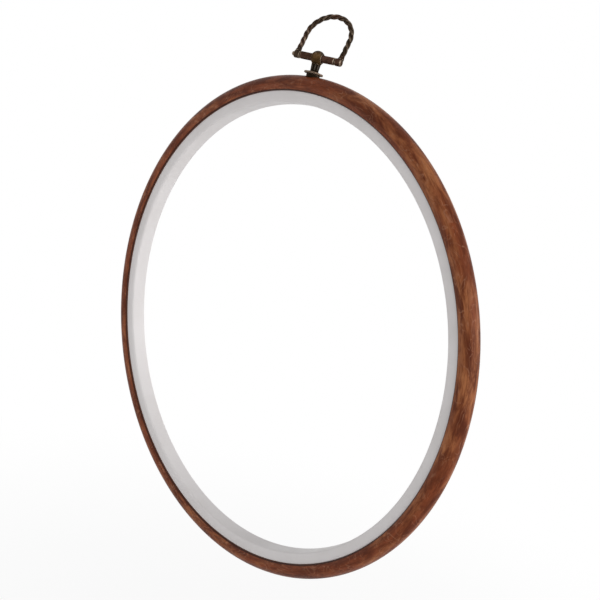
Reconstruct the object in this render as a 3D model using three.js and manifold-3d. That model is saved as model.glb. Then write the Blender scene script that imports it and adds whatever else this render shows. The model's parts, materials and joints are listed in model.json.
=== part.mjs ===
// Round embroidery hoop with a swivelling hanger, in millimetres, +Z up.
// A rigid ring holds the cloth inside a flexible wood-look ring. A riveted post on top carries
// a rope-twist hanging ring on a cross bar.
// The hoops' common axis runs along Y, with the front at -Y. The origin is the inside top of the
// hanging ring, where a hook bears.

import * as THREE from 'three';
import { mergeVertices } from 'three/addons/utils/BufferGeometryUtils.js';
import Module from 'manifold-3d';

const wasm = await Module();
wasm.setup();

// Flexible outer hoop: a bead of D section
const SEAT_RADIUS = 97.0;             // its inner wall, where the inner hoop sits
const OUTER_THICKNESS = 6.35;         // from the inner wall to the outermost line
const CROWN_RADIUS = 3.94;            // roundness of the bead
const BACK_TRIM = 0.2;                // flat back, cut this far into the round of the bead
const OUTER_FRONT_FILLET = 0.5;
const OUTER_BACK_FILLET = 0.5;

// Rigid inner hoop
const CLOTH_GAP = 0.3;                // room for the cloth between the hoops
const INNER_WIDTH = 4.3;              // radial width of the front face
const INNER_SETBACK = 1.83;           // front face, behind the front of the bead
const INNER_DRAFT = 0.3;              // the bore narrows by this much towards the back
const INNER_BORE_FILLET = 0.9;
const INNER_EDGE_FILLET = 0.4;

// Fits shared by the hanger's pieces
const FIT_GAP = 0.3;                  // between faces that meet
const TURN_GAP = 0.28;                // round a pin that turns in its hole

// Post: pierced head, fluted stem, flange, shank and formed rivet end
const POST_LEAN = 8;                  // degrees towards the back, over the round of the bead
const PIVOT_HEIGHT = 7.35;            // cross bar's axis above the rim
const HEAD_RADIUS = 2.85;
const NECK_RADIUS = 1.85;
const STEM_FOOT_RADIUS = 1.65;        // the stem widens from here to the neck
const FLUTE_LENGTH = 2.8;
const FLUTE_COUNT = 8;
const FLUTE_DEPTH = 0.3;
const FLUTE_RUNOUT = 0.56;            // length over which a flute fades at each end
const FOOT_RADIUS = 2.2;
const FLANGE_RADIUS = 3.8;
const FLANGE_THICKNESS = 0.6;
const FLANGE_CONE = 0.3;              // rise of the flange towards the stem
const SHANK_RADIUS = 1.1;
const RIVET_RADIUS = 1.9;
const RIVET_THICKNESS = 0.7;
const RIVET_FACE_RADIUS = 1.15;       // flat middle of its end
const RIVET_EDGE = 0.42;              // height of the slope round that flat
const RIVET_SINK = 0.25;              // rivet end below the inner wall

// Washers on both sides of the rim
const RIM_WASHER_RADIUS = 2.7;
const RIM_WASHER_THICKNESS = 0.9;
const RIM_WASHER_EDGE = 0.2;
const SPOT_FACE_DEPTH = 0.6;          // flat seat cut into the rim under its washer
const BACKING_WASHER_RADIUS = 2.2;
const BACKING_WASHER_THICKNESS = 0.5;

// Hanging ring and its cross bar
const ARCH_WIDTH = 19.4;              // between the middles of the legs
const ARCH_HEIGHT = 19.3;             // from the cross bar's axis to the middle of the rope at the top
const LEG_HEIGHT = 9.6;               // top of the straight part of each leg
const STRAND_RADIUS = 0.62;
const STRAND_OFFSET = 0.455;          // strand's middle from the rope's middle
const STRAND_COUNT = 3;
const ROPE_PITCH = 9.2;               // length of one full twist
const EYE_RADIUS = 1.5;
const EYE_LENGTH = 2.7;
const EYE_INSET = 0.4;                // eye's middle inwards of the leg's middle
const EYE_ROUND = 0.45;
const ROPE_FOOT = 1.2;                // where the rope starts, above the cross bar's axis
const EYE_NECK_RADIUS = 1.2;
const EYE_NECK_HEIGHT = 2.5;
const BAR_RADIUS = 1.45;
const SPIGOT_RADIUS = 0.8;
const SPIGOT_INSET = 0.2;             // right end, below the eye's outer face
const SPIGOT_STAND = 0.95;            // left end, proud of the eye's outer face
const SPIGOT_ROUND = 0.3;

// How the hanger stands at rest
const SWIVEL_ANGLE = 16;              // degrees about the post
const LEAN_ANGLE = 20;                // degrees backwards about the cross bar, from the post

// Faceting
const HOOP_SIDES = 96;
const TURNED_SIDES = 40;
const PIN_SIDES = 20;
const STRAND_POINTS = 6;
const STEPS_PER_TWIST = 12;
const CROWN_STEPS = 12;
const HEAD_STEPS = 9;
const BORE_EDGE_STEPS = 4;
const EYE_EDGE_STEPS = 3;
const FILLET_STEPS = 2;

// Places worked out from the sizes above, in the hoops' own frame. The bead's crown is round, so
// heights along the leaning post are the same as for an upright one.
const crownCentre = SEAT_RADIUS + OUTER_THICKNESS - CROWN_RADIUS;
const backDepth = CROWN_RADIUS - BACK_TRIM;
const rimTop = SEAT_RADIUS + OUTER_THICKNESS;
const pivotZ = rimTop + PIVOT_HEIGHT;
const spotFaceZ = rimTop - SPOT_FACE_DEPTH;
const rimWasherBottom = spotFaceZ + FIT_GAP;
const rimWasherTop = rimWasherBottom + RIM_WASHER_THICKNESS;
const flangeBottom = rimWasherTop + FIT_GAP;
const rivetBottom = SEAT_RADIUS + RIVET_SINK;
const rivetTop = rivetBottom + RIVET_THICKNESS;
const backingBottom = rivetTop + FIT_GAP;
const backingTop = backingBottom + BACKING_WASHER_THICKNESS;
const recessFloor = backingTop + FIT_GAP;
const shankHole = SHANK_RADIUS + TURN_GAP;
const ropeRadius = STRAND_OFFSET + STRAND_RADIUS;
const eyePlace = ARCH_WIDTH / 2 - EYE_INSET;
const eyeFace = eyePlace + EYE_LENGTH / 2;
const barHalf = eyePlace - EYE_LENGTH / 2 - FIT_GAP;

const finishes = {
  woodVinyl: new THREE.MeshStandardMaterial({ color: 0x7a4632, roughness: 0.45, metalness: 0 }),
  palePlastic: new THREE.MeshStandardMaterial({ color: 0xd6d7d9, roughness: 0.5, metalness: 0 }),
  agedBrass: new THREE.MeshStandardMaterial({ color: 0x6e5c3f, roughness: 0.4, metalness: 0.8 }),
  darkBrass: new THREE.MeshStandardMaterial({ color: 0x4c4233, roughness: 0.5, metalness: 0.8 }),
};

// Points of an arc, first and last included
function arc(x, y, radius, from, to, steps) {
  const points = [];
  for (let i = 0; i <= steps; i++) {
    const angle = from + (to - from) * i / steps;
    points.push(new THREE.Vector2(x + radius * Math.cos(angle), y + radius * Math.sin(angle)));
  }
  return points;
}

function closed(points) {
  return [...points, points[0].clone()];
}

function toSolid(geometry) {
  const bare = geometry.clone();
  bare.deleteAttribute('normal');
  bare.deleteAttribute('uv');
  const merged = mergeVertices(bare, 1e-5);
  return new wasm.Manifold(new wasm.Mesh({
    numProp: 3,
    vertProperties: new Float32Array(merged.attributes.position.array),
    triVerts: new Uint32Array(merged.index.array),
  }));
}

function toGeometry(solid) {
  const mesh = solid.getMesh();
  const geometry = new THREE.BufferGeometry();
  geometry.setAttribute('position', new THREE.BufferAttribute(mesh.vertProperties, 3));
  geometry.setIndex(new THREE.BufferAttribute(mesh.triVerts, 1));
  geometry.computeVertexNormals();
  return geometry;
}

function piece(name, geometry, material) {
  const mesh = new THREE.Mesh(geometry, material);
  mesh.name = name;
  return mesh;
}

// Solid of revolution about Z: the outline is given as radius and height
function turnedAboutZ(outline, sides = TURNED_SIDES) {
  return new THREE.LatheGeometry(outline, sides).rotateX(Math.PI / 2);
}

// Plain round tool or pin about Z
function roundAboutZ(radius, bottom, top, sides = TURNED_SIDES) {
  const geometry = new THREE.CylinderGeometry(radius, radius, top - bottom, sides);
  return geometry.rotateX(Math.PI / 2).translate(0, 0, (top + bottom) / 2);
}

// Turns a shape made for an upright post to the post's lean, about the middle of the crown
function leaned(geometry) {
  const lean = -THREE.MathUtils.degToRad(POST_LEAN);
  return geometry.translate(0, 0, -crownCentre).rotateX(lean).translate(0, 0, crownCentre);
}

function turnedAboutX(outline, sides) {
  return new THREE.LatheGeometry(outline, sides).rotateZ(-Math.PI / 2);
}

// Closed skin over a row of rings that have the same number of points, anticlockwise about the way ahead
function skin(rings) {
  const sides = rings[0].length;
  const middle = (ring) => ring.reduce((sum, p) => sum.add(p), new THREE.Vector3()).divideScalar(sides);
  const points = [...rings.flat(), middle(rings[0]), middle(rings.at(-1))];
  const first = points.length - 2;
  const last = points.length - 1;
  const faces = [];
  for (let j = 0; j < sides; j++) {
    const k = (j + 1) % sides;
    faces.push(first, k, j);
    for (let i = 0; i < rings.length - 1; i++) {
      const low = i * sides;
      const high = low + sides;
      faces.push(low + j, low + k, high + k);
      faces.push(low + j, high + k, high + j);
    }
    const end = (rings.length - 1) * sides;
    faces.push(last, end + j, end + k);
  }
  const geometry = new THREE.BufferGeometry().setFromPoints(points);
  geometry.setIndex(faces);
  geometry.computeVertexNormals();
  return geometry;
}

// Bead section: round outside, straight inner wall, flat back. Fillets run tangent to the crown.
function outerHoopOutline() {
  const frontR = SEAT_RADIUS + OUTER_FRONT_FILLET;
  const frontY = -Math.sqrt((CROWN_RADIUS - OUTER_FRONT_FILLET) ** 2 - (frontR - crownCentre) ** 2);
  const frontTouch = Math.atan2(frontY, frontR - crownCentre);
  const backY = backDepth - OUTER_BACK_FILLET;
  const backR = crownCentre + Math.sqrt((CROWN_RADIUS - OUTER_BACK_FILLET) ** 2 - backY ** 2);
  const backTouch = Math.atan2(backY, backR - crownCentre);
  const innerBackR = SEAT_RADIUS + OUTER_BACK_FILLET;
  return closed([
    ...arc(frontR, frontY, OUTER_FRONT_FILLET, -Math.PI, frontTouch, FILLET_STEPS),
    ...arc(crownCentre, 0, CROWN_RADIUS, frontTouch, backTouch, CROWN_STEPS).slice(1, -1),
    ...arc(backR, backY, OUTER_BACK_FILLET, backTouch, Math.PI / 2, FILLET_STEPS),
    ...arc(innerBackR, backY, OUTER_BACK_FILLET, Math.PI / 2, Math.PI, FILLET_STEPS),
  ]);
}

// Seat for the rim washer, hole for the shank, and recess for the backing washer and the rivet end
function makeOuterHoop() {
  const bead = toSolid(new THREE.LatheGeometry(outerHoopOutline(), HOOP_SIDES));
  const seatRadius = RIM_WASHER_RADIUS + FIT_GAP;
  const recessRadius = BACKING_WASHER_RADIUS + FIT_GAP;
  const spotFace = toSolid(leaned(roundAboutZ(seatRadius, spotFaceZ, rimTop + CROWN_RADIUS)));
  const hole = toSolid(leaned(roundAboutZ(shankHole, recessFloor - CROWN_RADIUS, rimTop)));
  const recess = toSolid(leaned(roundAboutZ(recessRadius, SEAT_RADIUS - CROWN_RADIUS, recessFloor)));
  const geometry = toGeometry(bead.subtract(spotFace).subtract(hole).subtract(recess));
  return piece('outer_hoop', geometry, finishes.woodVinyl);
}

// Rounded bore edge at the front, small fillets elsewhere, bore drawn in towards the back
function makeInnerHoop() {
  const outer = SEAT_RADIUS - CLOTH_GAP;
  const bore = outer - INNER_WIDTH;
  const front = INNER_SETBACK - CROWN_RADIUS;
  const edge = INNER_EDGE_FILLET;
  const round = INNER_BORE_FILLET;
  const quarter = Math.PI / 2;
  const outline = closed([
    ...arc(bore + round, front + round, round, 2 * quarter, 3 * quarter, BORE_EDGE_STEPS),
    ...arc(outer - edge, front + edge, edge, 3 * quarter, 4 * quarter, FILLET_STEPS),
    ...arc(outer - edge, backDepth - edge, edge, 0, quarter, FILLET_STEPS),
    ...arc(bore - INNER_DRAFT + edge, backDepth - edge, edge, quarter, 2 * quarter, FILLET_STEPS),
  ]);
  return piece('inner_hoop', new THREE.LatheGeometry(outline, HOOP_SIDES), finishes.palePlastic);
}

// Washer with a rounded upper edge, the only edge that shows
function makeRimWasher() {
  const edge = RIM_WASHER_EDGE;
  const outline = closed([
    new THREE.Vector2(shankHole, rimWasherBottom),
    new THREE.Vector2(RIM_WASHER_RADIUS, rimWasherBottom),
    ...arc(RIM_WASHER_RADIUS - edge, rimWasherTop - edge, edge, 0, Math.PI / 2, FILLET_STEPS),
    new THREE.Vector2(shankHole, rimWasherTop),
  ]);
  return piece('rim_washer', leaned(turnedAboutZ(outline)), finishes.darkBrass);
}

function makeBackingWasher() {
  const outline = closed([
    new THREE.Vector2(shankHole, backingBottom),
    new THREE.Vector2(BACKING_WASHER_RADIUS, backingBottom),
    new THREE.Vector2(BACKING_WASHER_RADIUS, backingTop),
    new THREE.Vector2(shankHole, backingTop),
  ]);
  return piece('backing_washer', leaned(turnedAboutZ(outline)), finishes.darkBrass);
}

// Post about its own axis, with the cross bar's axis at height 0. Each row is a radius, a height
// and the share of the flutes' depth that is cut there.
function makePost() {
  const flange = flangeBottom - pivotZ;
  const flangeTop = flange + FLANGE_THICKNESS;
  const foot = flangeTop + FLANGE_CONE;
  const neckAngle = Math.acos(NECK_RADIUS / HEAD_RADIUS);
  const neck = -HEAD_RADIUS * Math.sin(neckAngle);
  const fluteTop = (foot + neck + FLUTE_LENGTH) / 2;
  const fluteBottom = fluteTop - FLUTE_LENGTH;
  const runout = FLUTE_RUNOUT / FLUTE_LENGTH;
  const stemRadius = (share) => STEM_FOOT_RADIUS + (NECK_RADIUS - STEM_FOOT_RADIUS) * share;
  const rivet = rivetBottom - pivotZ;
  const rivetEdge = rivet + RIVET_THICKNESS;
  const head = arc(0, 0, HEAD_RADIUS, -neckAngle, Math.PI / 2, HEAD_STEPS).slice(0, -1);
  const rows = [
    [RIVET_FACE_RADIUS, rivet, 0],
    [RIVET_RADIUS, rivet + RIVET_EDGE, 0],
    [RIVET_RADIUS, rivetEdge, 0],
    [SHANK_RADIUS, rivetEdge, 0],
    [SHANK_RADIUS, flange, 0],
    [FLANGE_RADIUS, flange, 0],
    [FLANGE_RADIUS, flangeTop, 0],
    [FOOT_RADIUS, foot, 0],
    [stemRadius(0), fluteBottom, 0],
    [stemRadius(runout), fluteBottom + FLUTE_RUNOUT, 1],
    [stemRadius(1 - runout), fluteTop - FLUTE_RUNOUT, 1],
    [stemRadius(1), fluteTop, 0],
    ...head.map((p) => [p.x, p.y, 0]),
  ];
  const rings = rows.map(([radius, height, share]) => {
    const ring = [];
    for (let i = 0; i < TURNED_SIDES; i++) {
      const angle = 2 * Math.PI * i / TURNED_SIDES;
      const cut = share * FLUTE_DEPTH * (0.5 + 0.5 * Math.cos(FLUTE_COUNT * angle));
      const r = radius - cut;
      ring.push(new THREE.Vector3(r * Math.cos(angle), r * Math.sin(angle), height));
    }
    return ring;
  });
  const bore = roundAboutZ(BAR_RADIUS + TURN_GAP, -2 * HEAD_RADIUS, 2 * HEAD_RADIUS, TURNED_SIDES);
  bore.rotateY(Math.PI / 2);
  const geometry = toGeometry(toSolid(skin(rings)).subtract(toSolid(bore)));
  return piece('hanger_post', geometry, finishes.agedBrass);
}

// Middle line of the rope: up one leg, over a half ellipse, and down the other leg
class ArchCurve extends THREE.Curve {
  getPoint(t, target = new THREE.Vector3()) {
    const leg = LEG_HEIGHT - ROPE_FOOT;
    const rise = ARCH_HEIGHT - LEG_HEIGHT;
    const half = ARCH_WIDTH / 2;
    const bow = Math.PI * (half + rise) / 2;
    const along = t * (2 * leg + bow);
    if (along < leg) {
      return target.set(-half, 0, ROPE_FOOT + along);
    }
    if (along > leg + bow) {
      return target.set(half, 0, ROPE_FOOT + 2 * leg + bow - along);
    }
    const angle = Math.PI * (1 - (along - leg) / bow);
    return target.set(half * Math.cos(angle), 0, LEG_HEIGHT + rise * Math.sin(angle));
  }
}

// Outer surface of strands laid round one another, as a radius at each point of the section
function strandRadii() {
  const radii = [];
  for (let i = 0; i < STRAND_POINTS; i++) {
    const angle = (i / STRAND_POINTS - 0.5) * 2 * Math.PI / STRAND_COUNT;
    const across = STRAND_OFFSET * Math.sin(angle);
    radii.push(STRAND_OFFSET * Math.cos(angle) + Math.sqrt(STRAND_RADIUS ** 2 - across ** 2));
  }
  return radii;
}

function makeRope() {
  const path = new ArchCurve();
  path.arcLengthDivisions = 600;
  const length = path.getLength();
  const steps = Math.round(length / ROPE_PITCH * STEPS_PER_TWIST);
  const radii = strandRadii();
  const sides = STRAND_COUNT * STRAND_POINTS;
  const acrossPlane = new THREE.Vector3(0, 1, 0);
  const rings = [];
  for (let i = 0; i <= steps; i++) {
    const u = i / steps;
    const centre = path.getPointAt(u);
    const inPlane = acrossPlane.clone().cross(path.getTangentAt(u)).normalize();
    const twist = 2 * Math.PI * u * length / ROPE_PITCH;
    const ring = [];
    for (let j = 0; j < sides; j++) {
      const angle = twist + 2 * Math.PI * (j / sides - 0.5 / STRAND_COUNT);
      const radius = radii[j % STRAND_POINTS];
      const point = centre.clone().addScaledVector(inPlane, radius * Math.cos(angle));
      ring.push(point.addScaledVector(acrossPlane, radius * Math.sin(angle)));
    }
    rings.push(ring);
  }
  return toSolid(skin(rings));
}

// Barrel eye round the bar's end, with a neck that takes the rope's end
function makeEye(side) {
  const half = EYE_LENGTH / 2;
  const round = EYE_ROUND;
  const barrel = turnedAboutX([
    new THREE.Vector2(0, -half),
    ...arc(EYE_RADIUS - round, round - half, round, -Math.PI / 2, 0, EYE_EDGE_STEPS),
    ...arc(EYE_RADIUS - round, half - round, round, 0, Math.PI / 2, EYE_EDGE_STEPS),
    new THREE.Vector2(0, half),
  ], PIN_SIDES).translate(side * eyePlace, 0, 0);
  const neck = roundAboutZ(EYE_NECK_RADIUS, ROPE_FOOT, EYE_NECK_HEIGHT, PIN_SIDES);
  neck.translate(side * ARCH_WIDTH / 2, 0, 0);
  return toSolid(barrel).add(toSolid(neck));
}

function makeHangingRing() {
  const bore = roundAboutZ(SPIGOT_RADIUS + FIT_GAP / 2, -ARCH_WIDTH, ARCH_WIDTH, PIN_SIDES);
  bore.rotateY(Math.PI / 2);
  const solid = makeRope().add(makeEye(-1)).add(makeEye(1)).subtract(toSolid(bore));
  return piece('hanging_ring', toGeometry(solid), finishes.agedBrass);
}

// Bar with a pin at each end: the left one stands proud of its eye, the right one lies in it
function makeCrossBar() {
  const left = -eyeFace - SPIGOT_STAND;
  const right = eyeFace - SPIGOT_INSET;
  const round = SPIGOT_ROUND;
  const outline = [
    new THREE.Vector2(0, left),
    ...arc(SPIGOT_RADIUS - round, left + round, round, -Math.PI / 2, 0, FILLET_STEPS),
    new THREE.Vector2(SPIGOT_RADIUS, -barHalf),
    new THREE.Vector2(BAR_RADIUS, -barHalf),
    new THREE.Vector2(BAR_RADIUS, barHalf),
    new THREE.Vector2(SPIGOT_RADIUS, barHalf),
    new THREE.Vector2(SPIGOT_RADIUS, right),
    new THREE.Vector2(0, right),
  ];
  return piece('cross_bar', turnedAboutX(outline, PIN_SIDES), finishes.agedBrass);
}

const hoop = new THREE.Group();
hoop.add(makeOuterHoop(), makeInnerHoop(), makeRimWasher(), makeBackingWasher());

const stand = new THREE.Group();
stand.position.z = crownCentre;
stand.rotation.x = -THREE.MathUtils.degToRad(POST_LEAN);
hoop.add(stand);

const swivel = new THREE.Group();
swivel.position.z = pivotZ - crownCentre;
swivel.rotation.z = THREE.MathUtils.degToRad(SWIVEL_ANGLE);
swivel.add(makePost());
stand.add(swivel);

const leaning = new THREE.Group();
leaning.rotation.x = -THREE.MathUtils.degToRad(LEAN_ANGLE);
leaning.add(makeHangingRing(), makeCrossBar());
swivel.add(leaning);

hoop.updateMatrixWorld(true);
const hangPoint = leaning.localToWorld(new THREE.Vector3(0, 0, ARCH_HEIGHT - ropeRadius));
hoop.position.sub(hangPoint);
hoop.updateMatrixWorld(true);

export default hoop;
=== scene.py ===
"""Round embroidery hoop with a swivelling hanger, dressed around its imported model.

A pale rigid ring holds the cloth inside a flexible ring of vinyl with a printed wood grain. On top
stands a riveted brass post, whose pierced head carries a rope-twist hanging ring on a cross bar.
Everything is in metres, +Z up, with the front of the hoop at -Y.
"""

import json
import math

import bmesh
import bpy
from bpy.props import FloatProperty, FloatVectorProperty, IntProperty, PointerProperty
from mathutils import Matrix, Vector


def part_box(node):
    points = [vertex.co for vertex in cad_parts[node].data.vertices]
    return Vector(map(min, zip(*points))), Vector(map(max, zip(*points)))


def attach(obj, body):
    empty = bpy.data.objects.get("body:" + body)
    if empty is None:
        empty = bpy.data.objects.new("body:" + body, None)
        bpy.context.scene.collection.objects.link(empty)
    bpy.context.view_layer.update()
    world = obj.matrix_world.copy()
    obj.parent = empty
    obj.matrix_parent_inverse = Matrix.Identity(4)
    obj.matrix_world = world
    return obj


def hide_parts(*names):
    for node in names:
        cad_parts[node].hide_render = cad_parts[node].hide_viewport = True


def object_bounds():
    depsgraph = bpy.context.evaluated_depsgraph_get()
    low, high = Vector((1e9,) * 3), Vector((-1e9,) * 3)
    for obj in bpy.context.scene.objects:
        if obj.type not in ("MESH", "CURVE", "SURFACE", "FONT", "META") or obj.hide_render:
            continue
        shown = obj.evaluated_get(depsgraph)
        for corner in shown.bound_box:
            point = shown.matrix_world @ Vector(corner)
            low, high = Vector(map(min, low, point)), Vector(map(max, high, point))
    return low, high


bl_info = {
    "name": "Embroidery hoop",
    "version": (1, 0, 0),
    "blender": (4, 5, 0),
    "location": "View3D > Sidebar > Hoop",
    "description": "Builds a round embroidery hoop with a swivelling rope-twist hanger",
    "category": "Object",
}

MM = 0.001
QUARTER_TURN = math.pi / 2

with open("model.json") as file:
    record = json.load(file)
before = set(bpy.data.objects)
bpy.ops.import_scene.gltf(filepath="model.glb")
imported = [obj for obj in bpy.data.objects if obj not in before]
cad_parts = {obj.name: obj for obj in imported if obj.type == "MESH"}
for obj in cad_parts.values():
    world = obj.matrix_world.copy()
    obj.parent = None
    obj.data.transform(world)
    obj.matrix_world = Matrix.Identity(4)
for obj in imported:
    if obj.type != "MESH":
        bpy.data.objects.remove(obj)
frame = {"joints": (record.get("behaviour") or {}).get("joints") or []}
cad_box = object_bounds()

# Places that the frame gives: the rim's box, the post's axis, and the cross bar's axis.
# The origin is the inside top of the hanging ring, so the ring's own upward way runs from the bar to it.
# The round of the bead is the one size here that the frame doesn't give.
joints = {joint["name"]: joint for joint in frame["joints"]}
rim_low, rim_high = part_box("outer_hoop")
PIVOT = Vector(joints["ring_swing"]["pos_m"])
POST_WAY = Vector(joints["post_swivel"]["axis"]).normalized()
BAR_WAY = Vector(joints["ring_swing"]["axis"]).normalized()
RING_UP = -PIVOT.normalized()
ORIGIN = (0, 0, 0)
UP = Vector((0, 0, 1))
RIM_RADIUS = (rim_high.x - rim_low.x) / 2
CROWN_RADIUS = 3.94 * MM
CROWN_MIDDLE = RIM_RADIUS - CROWN_RADIUS
HOOP_CENTRE = Vector(((rim_low.x + rim_high.x) / 2, rim_low.y + CROWN_RADIUS, rim_low.z + RIM_RADIUS))

# Steps of the arcs in the outlines, and of the straight strokes that are shaped afterwards
CROWN_STEPS = 72
BACK_STEPS = 4
FILLET_STEPS = 8
BORE_STEPS = 12
EDGE_STEPS = 6
WASHER_EDGE_STEPS = 5
HEAD_STEPS = 48
STEM_STEPS = 28
BAR_STEPS = 96

# Steps along a strand in one full twist of the rope
TWIST_STEPS = 64

# Segments round the small turned shapes
WASHER_SEGMENTS = 96
POST_SEGMENTS = 144
BARREL_SEGMENTS = 64
NECK_SEGMENTS = 48
STRAND_SEGMENTS = 20
BORE_SEGMENTS = 96
SPIGOT_HOLE_SEGMENTS = 48

# Points nearer than TOUCH are one point, an edge counts as no shorter than SHORTEST when its relief is
# measured, and edges that turn by more than SHARP stay sharp.
TOUCH = 0.0001 * MM
SHORTEST = 0.001 * MM
SHARP = math.radians(38)

# Finishes: the print is painted lighter and warmer on the upper right, a painted light where the lamps
# fall, and its dark line of painted shade lies just outwards of the inner wall.
LIT_SIDE_TURN = math.radians(30)
LIT_SIDE_WAY = Vector((math.cos(LIT_SIDE_TURN), 0, math.sin(LIT_SIDE_TURN)))
LIT_SIDE_SHARE = 0.08
SHADE_LINE_START = 0.6 * MM
SHADE_LINE_FULL = 0.3 * MM
WALL_BLEND = 0.15 * MM
VEIN_LEVELS = (0.46, 0.57)
VEIN_WIDTH = 0.022
VEIN_SHARE = 0.42
FLECK_SHARE = 0.45
PORE_SHARE = 0.35
HAIRLINE_TURN = (0.5, 0.7, 0.3)
HAIRLINE_STRETCH = (1, 0.08, 1)
HEAD_BLEND = 0.5 * MM
FLANGE_BLEND = (-0.3 * MM, 0.1 * MM)
BRASS_TINT = (0.5, 0.38, 0.25, 1)

# Relief, in 1/mm, from which each brass piece is rubbed bright, as wear and a painted highlight, the relief
# more at which it is quite bright, and how much the blotches shift both
ROPE_RUB_HIGHLIGHT = 0.85
POST_RUB_HIGHLIGHT = 0.45
BAR_RUB_HIGHLIGHT = 0.75
WASHER_RUB_HIGHLIGHT = 1.2
RUB_HIGHLIGHT_RANGE = 0.75
RUB_HIGHLIGHT_SHIFT = 2.2

# Lamps: where each stands from the hoop's middle and how wide it is, in metres
KEY_PLACE = Vector((1.9, -0.2, 0.2))
KEY_WIDTH = 1.5
SIDE_PLACE = Vector((1.2, 1.1, 0.25))
SIDE_WIDTH = 0.5
FILL_PLACE = Vector((-0.3, -0.42, -0.06))
FILL_WIDTH = 0.22

# Picture: its width in pixels, and the camera's sensor in millimetres
PICTURE_WIDTH = 600
SENSOR_WIDTH = 36


def length(name, description, millimetres):
    """A length that a user can change, given in millimetres."""
    return FloatProperty(
        name=name,
        description=description,
        default=millimetres * MM,
        min=0,
        precision=5,
        subtype="DISTANCE",
        unit="LENGTH",
    )


def amount(name, description, value, most=1.0):
    """A number that a user can change, from 0 to its most."""
    return FloatProperty(name=name, description=description, default=value, min=0, max=most)


def angle(name, description, degrees):
    """An angle that a user can change, given in degrees."""
    return FloatProperty(
        name=name,
        description=description,
        default=math.radians(degrees),
        subtype="ANGLE",
        unit="ROTATION",
    )


def colour(name, description, red, green, blue):
    """A finish that a user can change, as linear red, green and blue."""
    return FloatVectorProperty(
        name=name,
        description=description,
        default=(red, green, blue, 1),
        min=0,
        max=1,
        size=4,
        subtype="COLOR",
    )


class HoopSizes(bpy.types.PropertyGroup):
    """Sections of the two hoops."""

    rim_thickness: length("Rim thickness", "Flexible hoop, from its inner wall to its outermost line", 6.35)
    crown_radius: length("Crown radius", "Roundness of the bead", CROWN_RADIUS / MM)
    back_trim: length("Back trim", "How far the flat back cuts into the round of the bead", 0.2)
    rim_fillet: length("Rim fillet", "Rounding of the bead's two inner edges", 0.5)
    cloth_gap: length("Cloth gap", "Room that shows between the two hoops", 0.06)
    face_width: length("Face width", "Pale hoop, radial width of its front face", 4.54)
    setback: length("Setback", "Pale hoop's front face, behind the front of the bead", 1.2)
    draft: length("Draft", "How much the pale hoop's bore narrows towards the back", 0.3)
    bore_fillet: length("Bore fillet", "Rounding of the pale hoop's front bore edge", 0.9)
    edge_fillet: length("Edge fillet", "Rounding of the pale hoop's other edges", 0.2)
    steps: IntProperty(name="Steps", description="Sections round each hoop", default=384, min=48, max=720)


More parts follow.
